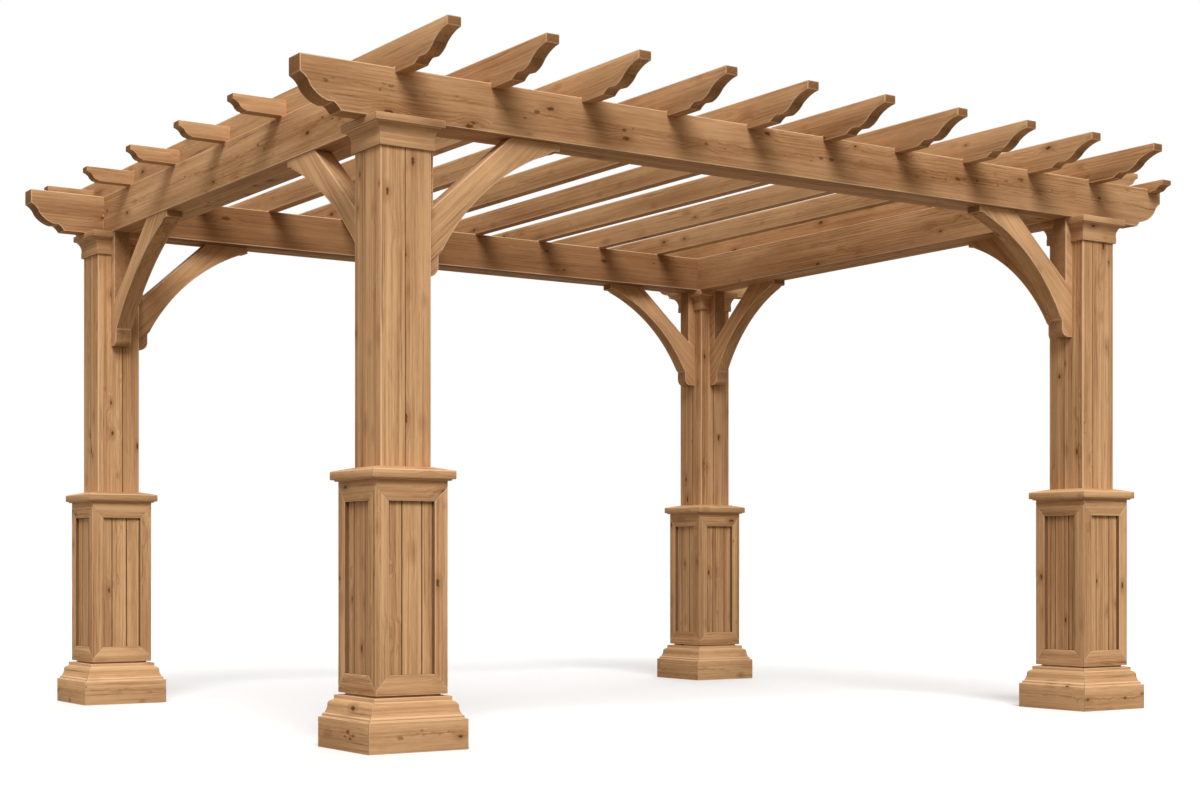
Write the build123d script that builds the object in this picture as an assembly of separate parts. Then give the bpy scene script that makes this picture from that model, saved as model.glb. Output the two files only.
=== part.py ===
from build123d import *
import os

# Wooden pergola: four cased columns, four beams with shaped tails, ten
# rafters, short side tails and eight curved knee braces. The side braces
# on the left reach farther than the others.
# X runs along the front beam, Y from front to back, Z up. Millimetres.
# The origin is the bottom centre of the whole outline, on the ground.

# Column grid
column_span_x = 3892.5
column_span_y = 3136.0
rafter_count = 10
rafter_spacing = column_span_x / (rafter_count - 1)

# Column base
base_half = 217.0
base_block_top = 119.0
base_fillet_inset = 11.0
base_cove_inset = 27.0
base_round_inset = 43.0
base_band_half = 171.0
base_band_top = 207.0
base_neck_half = 150.0
base_height = 215.0

# Pedestal
pedestal_half = 158.0
pedestal_top = 1041.0
panel_width = 199.0
panel_bottom = 294.0
panel_top = 959.0
panel_depth = 16.0

# Pedestal cap
cap_half = 183.0
cap_lip_half = 170.0
cap_lip_height = 6.0
cap_slab_height = 34.0
cap_hip_rise = 14.0
cap_top_half = 116.0
cap_top = pedestal_top + cap_lip_height + cap_slab_height + cap_hip_rise

# Shaft and capital
shaft_half = 110.0
beam_bottom = 2440.0
capital_bottom = 2324.0
capital_neck_half = 121.0
capital_neck_height = 26.0
capital_cove_top_half = 140.0
capital_cove_gap = 3.0
capital_slab_half = 152.0
capital_slab_height = 28.0

# Beams: each is a shaped outer ply and a plain inner ply
beam_height = 198.0
beam_top = beam_bottom + beam_height
beam_thickness = 100.0
beam_outward_shift = 25.0
beam_tail_left = 432.0
beam_tail_right = 505.0
beam_tail_length = 172.0
beam_end_flat = 70.0
side_beam_thickness = 100.0
inner_ply_thickness = 100.0

# Rafters
rafter_thickness = 61.0
rafter_height = 129.0
rafter_notch = 20.0
rafter_overhang = 485.0
rafter_tail_length = 253.0
rafter_end_flat = 37.0
rafter_bottom = beam_top - rafter_notch
rafter_top = rafter_bottom + rafter_height

# Short side tails
side_tail_count = 5
side_tail_thickness = 64.0
side_tail_height = 68.0
side_tail_reach = 275.0
side_tail_first = 912.0
side_tail_spacing = 603.0
side_tail_shape_length = 62.0
side_tail_end_flat = 25.0

# Two small end pieces on the right-hand tail of the front beam
end_tail_reach = 335.0
end_rafter_offset = 412.0
end_rafter_height = 53.0
end_rafter_overhang = 95.0
end_rafter_shape_length = 70.0

# Knee braces
brace_thickness = 84.0
brace_leg_thickness = 48.0
brace_drop = 592.0
brace_foot_depth = 72.0
brace_foot_height = 86.0
brace_foot_round = 40.0
brace_quirk = 12.0
brace_tip_height = 32.0
brace_tip_length = 24.0
# Reach, bow of the lower edge, length on the beam and slope of the back
short_brace = (750.0, 61.0, 235.0, 0.89)
long_brace = (880.0, 48.0, 265.0, 0.80)
side_brace_shape = {"left": long_brace, "right": short_brace}

# Offset that puts the origin under the middle of the outline
shift_x = (beam_tail_left - beam_tail_right) / 2

column_x = {
    "left": shift_x - column_span_x / 2,
    "right": shift_x + column_span_x / 2,
}
column_y = {
    "front": -column_span_y / 2,
    "back": column_span_y / 2,
}
inward_x = {"left": 1, "right": -1}
inward_y = {"front": 1, "back": -1}

front_beam_y = column_y["front"] - beam_outward_shift
back_beam_y = column_y["back"] + beam_outward_shift
half_beam = beam_thickness / 2
outline_left = column_x["left"] - beam_tail_left
outline_right = column_x["right"] + beam_tail_right
outline_front = column_y["front"] - rafter_overhang
outline_back = column_y["back"] + rafter_overhang

os.makedirs("parts", exist_ok=True)


def slab(x0, x1, y0, y1, z0, z1):
    size = Vector(x1 - x0, y1 - y0, z1 - z0)
    centre = Vector((x0 + x1) / 2, (y0 + y1) / 2, (z0 + z1) / 2)
    return Pos(centre) * Box(size.X, size.Y, size.Z)


def mirrored_face(edges):
    """Close a right-hand outline with its mirror image in the Z axis."""
    right = Wire(edges)
    left = mirror(right, about=Plane.YZ)
    start = edges[0] @ 0
    end = edges[-1] @ 1
    bottom = Line((-start.X, start.Y, start.Z), start).edge()
    top = Line((-end.X, end.Y, end.Z), end).edge()
    pieces = list(right.edges()) + list(left.edges()) + [bottom, top]
    return Face(Wire(pieces))


def square_moulding(edges, reach):
    """Solid whose outline is the same on all four sides, mitred at the corners."""
    face = mirrored_face(edges)
    along_y = extrude(face, amount=reach, dir=(0, 1, 0), both=True)
    along_x = Rot(0, 0, 90) * along_y
    return along_y & along_x


def line(x0, z0, x1, z1):
    return Line((x0, 0, z0), (x1, 0, z1)).edge()


def arc(x0, z0, xm, zm, x1, z1):
    return ThreePointArc((x0, 0, z0), (xm, 0, zm), (x1, 0, z1)).edge()


def column_base():
    block = base_block_top
    fillet = base_half - base_fillet_inset
    cove = base_half - base_cove_inset
    shoulder = base_half - base_round_inset
    band = base_band_half
    edges = [
        line(base_half, 0, base_half, block),
        line(base_half, block, fillet, block + 3),
        line(fillet, block + 3, fillet, block + 13),
        line(fillet, block + 13, fillet - 6, block + 15),
        arc(fillet - 6, block + 15, cove + 3.5, block + 29, cove, block + 46),
        arc(cove, block + 46, cove - 4, block + 61, shoulder, block + 68),
        line(shoulder, block + 68, band, block + 71),
        line(band, block + 71, band, base_band_top - 2),
        line(band, base_band_top - 2, band - 2, base_band_top),
        line(band - 2, base_band_top, base_neck_half, base_band_top),
        line(base_neck_half, base_band_top, base_neck_half, base_height),
    ]
    return square_moulding(edges, base_half + 10)


def column_pedestal():
    half = pedestal_half
    body = slab(-half, half, -half, half, base_height, pedestal_top)
    deep = half - panel_depth
    for turn in range(4):
        recess = slab(-panel_width / 2, panel_width / 2, deep, half + 5, panel_bottom, panel_top)
        body = body - Rot(0, 0, 90 * turn) * recess
    return body


def pedestal_cap():
    slab_bottom = pedestal_top + cap_lip_height
    slab_top = slab_bottom + cap_slab_height
    edges = [
        line(cap_lip_half, pedestal_top, cap_lip_half, slab_bottom),
        line(cap_lip_half, slab_bottom, cap_half - 2, slab_bottom),
        line(cap_half - 2, slab_bottom, cap_half, slab_bottom + 2),
        line(cap_half, slab_bottom + 2, cap_half, slab_top - 2),
        line(cap_half, slab_top - 2, cap_half - 3, slab_top + 0.5),
        line(cap_half - 3, slab_top + 0.5, cap_top_half, cap_top),
    ]
    return square_moulding(edges, cap_half + 10)


def column_shaft():
    half = shaft_half
    return slab(-half, half, -half, half, cap_top, beam_bottom)


def column_capital(side, end):
    neck = capital_neck_half
    cove = capital_cove_top_half
    edge = capital_slab_half
    slab_bottom = beam_bottom - capital_slab_height
    foot = capital_bottom + capital_neck_height
    head = slab_bottom - capital_cove_gap
    rise = head - foot
    edges = [
        line(neck, capital_bottom, neck, foot),
        arc(neck, foot, neck + 0.26 * (cove - neck), foot + 0.67 * rise, cove, head),
        line(cove, head, cove, slab_bottom),
        line(cove, slab_bottom, edge, slab_bottom),
        line(edge, slab_bottom, edge, beam_bottom),
    ]
    body = square_moulding(edges, edge + 10)
    half = shaft_half
    under = capital_bottom - 5
    over = beam_bottom + 5
    body = body - slab(-half, half, -half, half, under, over)
    leg = brace_thickness / 2
    outer = edge + 20
    along_x = sorted((inward_x[side] * half, inward_x[side] * outer))
    along_y = sorted((inward_y[end] * half, inward_y[end] * outer))
    body = body - slab(along_x[0], along_x[1], -leg, leg, under, over)
    body = body - slab(-leg, leg, along_y[0], along_y[1], under, over)
    return body


def tail_edges(shape, tip, sign):
    """Outline from the tip top down the shaped end to the straight bottom.

    The shape gives the length, height and flat end, then the bend, belly and
    quirk points as (X, Z) fractions of the length and of the shaped height.
    The tip is at X = tip, and sign says which way the member runs from it.
    """
    length, height, end_flat, bend, belly, quirk = shape
    low = height - end_flat
    bx, bz = bend[0] * length, bend[1] * low
    ex, ez = belly[0] * length, belly[1] * low
    qx, qz = quirk[0] * length, quirk[1] * low
    cove_x, cove_z = bx * 0.60, bz + (low - bz) * 0.60
    belly_x, belly_z = bx + (ex - bx) * 0.40, ez + (bz - ez) * 0.40
    step_x, step_z = qx + (length - qx) * 0.62, qz * 0.50

    def at(x):
        return tip + sign * x

    return [
        line(at(0), height, at(0), low),
        arc(at(0), low, at(cove_x), cove_z, at(bx), bz),
        arc(at(bx), bz, at(belly_x), belly_z, at(ex), ez),
        line(at(ex), ez, at(qx), qz),
        arc(at(qx), qz, at(step_x), step_z, at(length), 0),
    ]


beam_tail = (beam_tail_length, beam_height, beam_end_flat, (0.25, 0.64), (0.70, 0.24), (0.82, 0.25))
rafter_tail = (rafter_tail_length, rafter_height, rafter_end_flat, (0.40, 0.60), (0.68, 0.19), (0.85, 0.23))
side_tail = (
    side_tail_shape_length, side_tail_height, side_tail_end_flat,
    (0.45, 0.60), (0.80, 0.12), (0.88, 0.12),
)
end_rafter_tail = (
    end_rafter_shape_length, end_rafter_height, 24.0,
    (0.45, 0.60), (0.80, 0.12), (0.88, 0.12),
)


def board(length, thickness, shape, both_ends=True):
    """Member along +X from the origin, bottom on Z = 0, centred on Y = 0."""
    shape_length, height = shape[0], shape[1]
    pieces = tail_edges(shape, 0, 1)
    pieces.append(line(0, height, length, height))
    if both_ends:
        pieces.extend(tail_edges(shape, length, -1))
        pieces.append(line(shape_length, 0, length - shape_length, 0))
    else:
        pieces.append(line(shape_length, 0, length, 0))
        pieces.append(line(length, 0, length, height))
    face = Face(Wire(pieces))
    return extrude(face, amount=thickness / 2, dir=(0, 1, 0), both=True)


def cross_beam(y):
    """Beam along X with a shaped tail at each end."""
    length = outline_right - outline_left
    body = board(length, beam_thickness, beam_tail)
    return Pos(outline_left, y, beam_bottom) * body


def side_beam(side):
    start = front_beam_y + half_beam
    length = outline_back - start
    body = board(length, side_beam_thickness, beam_tail, both_ends=False)
    # The tip is at the back, so the member is turned to run towards the front.
    body = Pos(column_x[side], outline_back, beam_bottom) * (Rot(0, 0, -90) * body)
    half_height = beam_bottom + beam_height / 2
    x0 = column_x[side] - side_beam_thickness / 2
    x1 = column_x[side] + side_beam_thickness / 2
    notch = slab(x0 - 1, x1 + 1, back_beam_y - half_beam, back_beam_y + half_beam, half_height, beam_top + 5)
    return body - notch


def back_beam():
    body = cross_beam(back_beam_y)
    half_height = beam_bottom + beam_height / 2
    for side in ("left", "right"):
        x0 = column_x[side] - side_beam_thickness / 2
        x1 = column_x[side] + side_beam_thickness / 2
        y0 = back_beam_y - half_beam - 1
        y1 = back_beam_y + half_beam + 1
        body = body - slab(x0, x1, y0, y1, beam_bottom - 5, half_height)
    return body


def rafter(number):
    x = column_x["left"] + (number - 1) * rafter_spacing
    length = outline_back - outline_front
    body = board(length, rafter_thickness, rafter_tail)
    body = Pos(x, outline_front, rafter_bottom) * (Rot(0, 0, 90) * body)
    x0 = x - rafter_thickness
    x1 = x + rafter_thickness
    seat_bottom = rafter_bottom - 5
    y0 = front_beam_y - half_beam
    y1 = back_beam_y + half_beam
    if number in (1, rafter_count):
        # The end rafters lie on the side beams as far as their back tips.
        y1 = outline_back + 5
    return body - slab(x0, x1, y0, y1, seat_bottom, beam_top)


def inner_plies():
    """Plain boards behind the four beams, from corner to corner."""
    x0 = column_x["left"] + side_beam_thickness / 2
    x1 = column_x["right"] - side_beam_thickness / 2
    y0 = front_beam_y + half_beam
    y1 = back_beam_y - half_beam
    ply = inner_ply_thickness
    spans = {
        "front_inner_beam": (x0, x1, y0, y0 + ply),
        "back_inner_beam": (x0, x1, y1 - ply, y1),
        "left_inner_beam": (x0, x0 + ply, y0 + ply, y1 - ply),
        "right_inner_beam": (x1 - ply, x1, y0 + ply, y1 - ply),
    }
    return {name: slab(*span, beam_bottom, beam_top) for name, span in spans.items()}


def side_tails(side):
    """Five short shaped boards fixed to the face of the end rafter."""
    out = -inward_x[side]
    length = side_tail_reach - rafter_thickness / 2
    pieces = []
    for index in range(side_tail_count):
        y = column_y["front"] + side_tail_first + index * side_tail_spacing + side_tail_thickness / 2
        body = board(length, side_tail_thickness, side_tail, both_ends=False)
        if out > 0:
            body = Rot(0, 0, 180) * body
        x = column_x[side] + out * side_tail_reach
        pieces.append(Pos(x, y, beam_top) * body)
    return Compound(children=pieces)


def front_right_end_tails():
    """Short tail on top of the front beam and a low cross piece beyond it."""
    length = end_tail_reach - rafter_thickness / 2
    tail = board(length, side_tail_thickness, side_tail, both_ends=False)
    tail = Rot(0, 0, 180) * tail
    y = front_beam_y - half_beam + side_tail_thickness / 2
    tail = Pos(column_x["right"] + end_tail_reach, y, beam_top) * tail
    run = beam_thickness + 2 * end_rafter_overhang
    cross = board(run, rafter_thickness, end_rafter_tail)
    x = column_x["right"] + end_rafter_offset + rafter_thickness / 2
    start = front_beam_y - half_beam - end_rafter_overhang
    cross = Pos(x, start, rafter_bottom) * (Rot(0, 0, 90) * cross)
    y0 = front_beam_y - half_beam
    y1 = front_beam_y + half_beam
    cross = cross - slab(x - 50, x + 50, y0, y1, rafter_bottom - 5, beam_top)
    return Compound(children=[tail, cross])


def knee_brace(shape):
    """Brace in the XZ plane, running towards +X from a column at the origin."""
    tip, bow, back_length, back_slope = shape
    near = shaft_half
    leg = near + brace_leg_thickness
    top = beam_bottom
    foot = top - brace_drop
    toe = near + brace_foot_depth
    heel = toe - brace_foot_round
    round_top = foot + brace_foot_round
    slack = 0.3 * brace_foot_round
    foot_top = foot + brace_foot_height
    start_x = toe + brace_quirk
    start_z = foot_top + brace_quirk
    tip_z = top - brace_tip_height
    nose_x = tip - brace_tip_length
    end_x = nose_x - brace_tip_length
    end_z = tip_z - brace_quirk
    run = end_x - start_x
    rise = end_z - start_z
    chord = (run ** 2 + rise ** 2) ** 0.5
    bow_x = (start_x + end_x) / 2 - bow * rise / chord
    bow_z = (start_z + end_z) / 2 + bow * run / chord
    back = tip - back_length
    back_foot = top - (back - leg) * back_slope
    edges = [
        line(near, foot, heel, foot),
        arc(heel, foot, toe - slack, foot + slack, toe, round_top),
        line(toe, round_top, toe, foot_top),
        line(toe, foot_top, start_x, start_z),
        arc(start_x, start_z, bow_x, bow_z, end_x, end_z),
        arc(end_x, end_z, nose_x - brace_tip_length / 2, tip_z - 0.3 * brace_quirk, nose_x, tip_z),
        line(nose_x, tip_z, tip, tip_z),
        line(tip, tip_z, tip, top),
        line(tip, top, back, top),
        line(back, top, leg, back_foot),
        line(leg, back_foot, leg, top),
        line(leg, top, near, top),
        line(near, top, near, foot),
    ]
    face = Face(Wire(edges))
    return extrude(face, amount=brace_thickness / 2, dir=(0, 1, 0), both=True)


def write(name, shape):
    export_step(shape, "parts/" + name + ".step")


base = column_base()
pedestal = column_pedestal()
cap = pedestal_cap()
shaft = column_shaft()
beam_brace = knee_brace(short_brace)
for end in ("front", "back"):
    for side in ("left", "right"):
        place = Pos(column_x[side], column_y[end], 0)
        name = end + "_" + side
        write("column_base_" + name, place * base)
        write("column_pedestal_" + name, place * pedestal)
        write("pedestal_cap_" + name, place * cap)
        write("column_shaft_" + name, place * shaft)
        write("column_capital_" + name, place * column_capital(side, end))
        turn_x = 0 if inward_x[side] > 0 else 180
        turn_y = 90 if inward_y[end] > 0 else -90
        write("beam_brace_" + name, place * (Rot(0, 0, turn_x) * beam_brace))
        side_brace = knee_brace(side_brace_shape[side])
        write("side_brace_" + name, place * (Rot(0, 0, turn_y) * side_brace))

write("front_beam", cross_beam(front_beam_y))
write("back_beam", back_beam())
write("left_side_beam", side_beam("left"))
write("right_side_beam", side_beam("right"))
for name, ply in inner_plies().items():
    write(name, ply)
for number in range(1, rafter_count + 1):
    write("rafter_" + str(number), rafter(number))
write("left_side_tails", side_tails("left"))
write("right_side_tails", side_tails("right"))
write("front_right_end_tails", front_right_end_tails())
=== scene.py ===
"""Timber pergola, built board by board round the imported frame."""
import math
import random

import bmesh
import bpy
from mathutils import Matrix, Vector


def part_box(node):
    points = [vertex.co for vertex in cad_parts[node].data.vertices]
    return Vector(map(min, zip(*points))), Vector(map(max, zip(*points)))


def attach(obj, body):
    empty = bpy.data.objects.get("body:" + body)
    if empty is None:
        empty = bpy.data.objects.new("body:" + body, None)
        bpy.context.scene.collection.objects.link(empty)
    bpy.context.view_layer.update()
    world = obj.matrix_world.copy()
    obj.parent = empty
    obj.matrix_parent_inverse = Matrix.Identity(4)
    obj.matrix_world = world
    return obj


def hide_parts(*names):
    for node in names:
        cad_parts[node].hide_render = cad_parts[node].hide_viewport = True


bl_info = {
    "name": "Timber Pergola",
    "version": (1, 0, 0),
    "blender": (4, 5, 0),
    "location": "View3D > Sidebar > Pergola",
    "description": "A wooden pergola with cased columns, shaped rafters and knee braces",
    "category": "Add Mesh",
}

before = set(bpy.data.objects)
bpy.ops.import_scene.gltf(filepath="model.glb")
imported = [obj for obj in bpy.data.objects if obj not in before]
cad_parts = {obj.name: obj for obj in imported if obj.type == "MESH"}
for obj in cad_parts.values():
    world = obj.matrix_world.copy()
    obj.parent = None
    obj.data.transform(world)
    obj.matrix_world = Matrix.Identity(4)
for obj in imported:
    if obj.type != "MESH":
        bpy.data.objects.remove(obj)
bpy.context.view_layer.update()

CORNERS = ("front_left", "front_right", "back_right", "back_left")
BEAMS = ("front", "back", "left", "right")
RAFTERS = 10
SIDE_TAILS = 5


# ---------------------------------------------------------------- frame sizes

def centre(node):
    low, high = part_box(node)
    return (low + high) / 2


def half_width(node):
    low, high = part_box(node)
    return (high.x - low.x) / 2


class Frame:
    """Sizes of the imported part, in metres."""

    def __init__(self):
        self.left = centre("column_shaft_front_left").x
        self.right = centre("column_shaft_front_right").x
        self.front = centre("column_shaft_front_left").y
        self.back = centre("column_shaft_back_left").y
        low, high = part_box("column_shaft_front_left")
        self.cap_top, self.beam_bottom = low.z, high.z
        low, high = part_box("column_pedestal_front_left")
        self.pedestal_bottom, self.pedestal_top = low.z, high.z
        self.capital_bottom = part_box("column_capital_front_left")[0].z
        self.shaft_half = half_width("column_shaft_front_left")
        self.base_half = half_width("column_base_front_left")
        self.pedestal_half = half_width("column_pedestal_front_left")
        self.cap_half = half_width("pedestal_cap_front_left")
        self.capital_half = half_width("column_capital_front_left")
        self.front_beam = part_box("front_beam")
        self.back_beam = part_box("back_beam")
        self.left_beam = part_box("left_side_beam")
        self.right_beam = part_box("right_side_beam")
        self.beam_top = self.front_beam[1].z
        self.inner = {end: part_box(f"{end}_inner_beam") for end in BEAMS}
        self.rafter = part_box("rafter_2")
        self.left_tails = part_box("left_side_tails")
        self.right_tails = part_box("right_side_tails")
        self.end_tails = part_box("front_right_end_tails")
        self.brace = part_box("beam_brace_front_left")
        self.long_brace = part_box("side_brace_front_left")


size = Frame()


# -------------------------------------------------------------- property groups

def metres(name, description, default):
    return bpy.props.FloatProperty(
        name=name, description=description, default=default, min=0.0,
        subtype="DISTANCE", unit="LENGTH", precision=4,
    )


def colour(name, description, default):
    return bpy.props.FloatVectorProperty(
        name=name, description=description, default=default, size=3,
        min=0.0, max=1.0, subtype="COLOR",
    )


def number(name, description, default):
    return bpy.props.FloatProperty(name=name, description=description, default=default)


def angle(name, description, degrees):
    return bpy.props.FloatProperty(
        name=name, description=description, default=math.radians(degrees), subtype="ANGLE",
    )


class PergolaSizes(bpy.types.PropertyGroup):
    arris: metres("Arris", "Rounding of the edges of beams and rafters", 0.0045)
    small_arris: metres("Small arris", "Rounding of the edges of mouldings", 0.0022)
    seam_width: metres("Seam width", "Width of a seam between two column boards", 0.0032)
    seam_depth: metres("Seam depth", "Depth of a seam between two column boards", 0.005)
    groove_width: metres("Groove width", "Width of a groove between two panel boards", 0.0046)
    groove_depth: metres("Groove depth", "Depth of a groove between two panel boards", 0.006)
    mitre_gap: metres("Mitre gap", "Half of the gap in a mitred corner", 0.0008)
    panel_width: metres("Panel width", "Width of the opening in a pedestal frame", 0.199)
    panel_bottom: metres("Panel bottom", "Height of the foot of a panel", 0.294)
    panel_top: metres("Panel top", "Height of the head of a panel", 0.959)
    panel_depth: metres("Panel depth", "How far a panel lies behind its frame", 0.016)
    brace_thickness: metres("Brace thickness", "Thickness of a knee brace", 0.084)
    tail_thickness: metres("Tail thickness", "Thickness of a side tail", 0.064)
    tail_spacing: metres("Tail spacing", "Distance between the centres of two side tails", 0.603)
    end_tail_reach: metres("End tail reach", "How far the end tail stands out", 0.335)
    screw_diameter: metres("Screw diameter", "Diameter of a countersunk screw", 0.009)
    rafter_spacing: metres(
        "Rafter spacing", "Distance between the centres of two rafters",
        (size.right - size.left) / (RAFTERS - 1),
    )


class PergolaColours(bpy.types.PropertyGroup):
    light: colour("Early wood", "Colour of the pale wood", (0.69, 0.415, 0.214))
    dark: colour("Late wood", "Colour of the dark grain lines", (0.285, 0.124, 0.046))
    # Painted shade: tint that darkens boards which lie in shadow, most of all the back beam and its
    # ply.
    deep: colour("Painted board shade", "Tint of the darkest boards", (0.40, 0.32, 0.26))
    knot: colour("Knot", "Colour of a knot", (0.095, 0.042, 0.017))
    end: colour("End grain", "Colour of sawn ends", (0.22, 0.10, 0.040))
    # Painted highlight: the pale colour laid on rounded arrises, standing in for the light they
    # catch.
    worn: colour("Worn edge", "Colour of a rubbed arris", (0.84, 0.57, 0.35))
    # The same colour also paints shade on the reveals inside the pedestal frames.
    shade: colour("Seam", "Colour inside a seam or a groove", (0.11, 0.052, 0.022))
    screw: colour("Screw", "Colour of the screw heads", (0.09, 0.06, 0.045))


class PergolaStage(bpy.types.PropertyGroup):
    floor_size: metres("Floor size", "Length of each side of the floor", 160.0)
    floor: colour("Floor", "Colour of the floor", (0.92, 0.93, 0.945))
    floor_bounce: colour("Floor bounce", "Colour of the light that the floor returns",
                         (0.23, 0.192, 0.152))
    floor_glow: number("Floor glow", "Brightness that only the camera sees on the floor", 0.06)
    sky: number("Sky light", "Strength of the even light", 0.43)
    sky_colour: colour("Sky colour", "Colour of the even light on the timber", (1.0, 0.95, 0.88))
    sun: number("Key light", "Strength of the key light", 2.75)
    sun_angle: angle("Key softness", "Angle that the key light covers", 30)
    sun_azimuth: angle("Key direction", "Turn of the key light from the front to the right", -24)
    sun_height: angle("Key height", "Height of the key light above the horizon", 44)
    fill: number("Fill light", "Strength of the low light from the left", 0.5)
    fill_angle: angle("Fill softness", "Angle that the fill light covers", 70)
    fill_azimuth: angle("Fill direction", "Turn of the fill light from the front to the right", -74)
    fill_height: angle("Fill height", "Height of the fill light above the horizon", -4)
    back: number("Back light", "Strength of the light from behind", 1.0)
    back_angle: angle("Back softness", "Angle that the back light covers", 60)
    back_azimuth: angle("Back direction", "Turn of the back light from the front to the right", 140)
    back_height: angle("Back height", "Height of the back light above the horizon", 32)


SETTINGS = {"pergola_sizes": PergolaSizes, "pergola_colours": PergolaColours,
            "pergola_stage": PergolaStage}


# ----------------------------------------------------------------- node graphs

WHITE = (1.0, 1.0, 1.0, 1.0)


def opaque(paint):
    return tuple(paint) + (1.0,)


class Graph:
    """A node tree, with short ways to add its nodes."""

    def __init__(self, tree):
        self.tree = tree

    def join(self, value, target):
        """Links a socket to an input, or gives the input a plain value."""
        if isinstance(value, bpy.types.NodeSocket):
            self.tree.links.new(value, target)
        else:
            target.default_value = value

    def node(self, kind, links=(), **values):
        """Adds a node. Links are {input: socket or value}; values set its properties."""
        made = self.tree.nodes.new(kind)
        for key, value in values.items():
            setattr(made, key, value)
        for key, value in dict(links).items():
            self.join(value, made.inputs[key])
        return made

    def first(self, kind, links=(), **values):
        """Adds a node and returns its first output."""
        return self.node(kind, links, **values).outputs[0]

    def maths(self, operation, *inputs, clamp=False):
        links = enumerate(inputs)
        return self.first("ShaderNodeMath", links, operation=operation, use_clamp=clamp)

    def times(self, one, other):
        return self.maths("MULTIPLY", one, other)

    def add(self, start, value, share):
        """The start plus a share of the value."""
        return self.maths("MULTIPLY_ADD", value, share, start)

    def vector(self, operation, *inputs):
        return self.first("ShaderNodeVectorMath", enumerate(inputs), operation=operation)

    def remap(self, value, *ends):
        """Takes the first two ends to the last two, or to 0 and 1."""
        return self.first("ShaderNodeMapRange", enumerate((value,) + ends))

    def smooth(self, value, *ends):
        """Does what remap does, with a soft start and finish."""
        links = enumerate((value,) + ends)
        return self.first("ShaderNodeMapRange", links, interpolation_type="SMOOTHSTEP")

    def blend(self, factor, one, other):
        links = {0: factor, 6: one, 7: other}
        return self.node("ShaderNodeMix", links, data_type="RGBA").outputs[2]

    def noise(self, vector, scale, detail, rough, distortion=0.0):
        """Noise on coordinates stretched along the grain."""
        spread = self.vector("MULTIPLY", vector, scale)
        return self.first("ShaderNodeTexNoise", {
            "Vector": spread, "Scale": 1.0, "Detail": detail,
            "Roughness": rough, "Distortion": distortion,
        })

    def cells(self, vector, scale, channel):
        """Distance to the middle of the nearest cell, and a number that the cell keeps."""
        spread = self.vector("MULTIPLY", vector, scale)
        made = self.node("ShaderNodeTexVoronoi", {"Vector": spread, "Scale": 1.0})
        own = self.node("ShaderNodeSeparateColor", {0: made.outputs["Color"]})
        return made.outputs["Distance"], own.outputs[channel]

    def attribute(self, name, output="Fac"):
        return self.node("ShaderNodeAttribute", attribute_name=name).outputs[output]

    def stored(self, name):
        return self.first("GeometryNodeInputNamedAttribute", {"Name": name},
                          data_type="FLOAT_VECTOR")

    def seen(self):
        """One for what is seen, straight or in a reflection, and zero for other light."""
        path = self.node("ShaderNodeLightPath").outputs
        seen = self.maths("MAXIMUM", path["Is Camera Ray"], path["Is Glossy Ray"])
        return self.maths("MAXIMUM", seen, path["Is Transmission Ray"])

    def group(self, name, make, links):
        """Places a shader group, which is made when it is first asked for."""
        tree = bpy.data.node_groups.get(name) or make(name)
        return self.node("ShaderNodeGroup", links, node_tree=tree).outputs


SOCKETS = {bool: "Bool", int: "Int", float: "Float", tuple: "Color"}


class Group(Graph):
    """A node group. Each input has its default value, or the type of a socket without one."""

    def __init__(self, name, inputs, outputs, kind="ShaderNodeTree"):
        super().__init__(bpy.data.node_groups.new(name, kind))
        for label, value in inputs.items():
            plain = isinstance(value, str)
            item = self.socket(label, "INPUT", value if plain else SOCKETS[type(value)])
            if not plain:
                item.default_value = value
        for label, socket in outputs.items():
            self.socket(label, "OUTPUT", socket)
        self.put = self.tree.nodes.new("NodeGroupInput").outputs
        self.finish = self.tree.nodes.new("NodeGroupOutput").inputs

    def socket(self, label, side, kind):
        return self.tree.interface.new_socket(
            label, in_out=side, socket_type="NodeSocket" + kind,
        )

    def give(self, label, value):
        self.join(value, self.finish[label])


def floats(*labels):
    return dict.fromkeys(labels, "Float")


# ---------------------------------------------------------------- shader groups

def knots_group(name):
    """Small ragged knots scattered through the wood: core, halo and swirl masks."""
    g = Group(name, {"Grain": "Vector", "Along": 0.17, "Across": 0.10, "Size": 0.12},
              floats("Core", "Halo", "Swirl"))
    grain = g.put["Grain"]
    along = g.maths("DIVIDE", 1.0, g.put["Along"])
    across = g.maths("DIVIDE", 1.0, g.put["Across"])
    scale = g.first("ShaderNodeCombineXYZ", {0: along, 1: across, 2: across})
    distance, own = g.cells(grain, scale, 0)
    radius = g.times(g.remap(own, 0.2, 1.0, 0.3, 1.0), g.put["Size"])
    ragged = g.noise(grain, (110.0, 190.0, 190.0), 3.0, 0.6)
    near = g.add(g.maths("DIVIDE", distance, radius), ragged, 1.5)
    near = g.maths("SUBTRACT", near, 0.75)
    g.give("Core", g.smooth(near, 0.55, 1.1, 1.0, 0.0))
    g.give("Halo", g.smooth(near, 0.8, 3.6, 1.0, 0.0))
    g.give("Swirl", g.smooth(near, 0.6, 5.0, 1.0, 0.0))
    return g.tree


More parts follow.
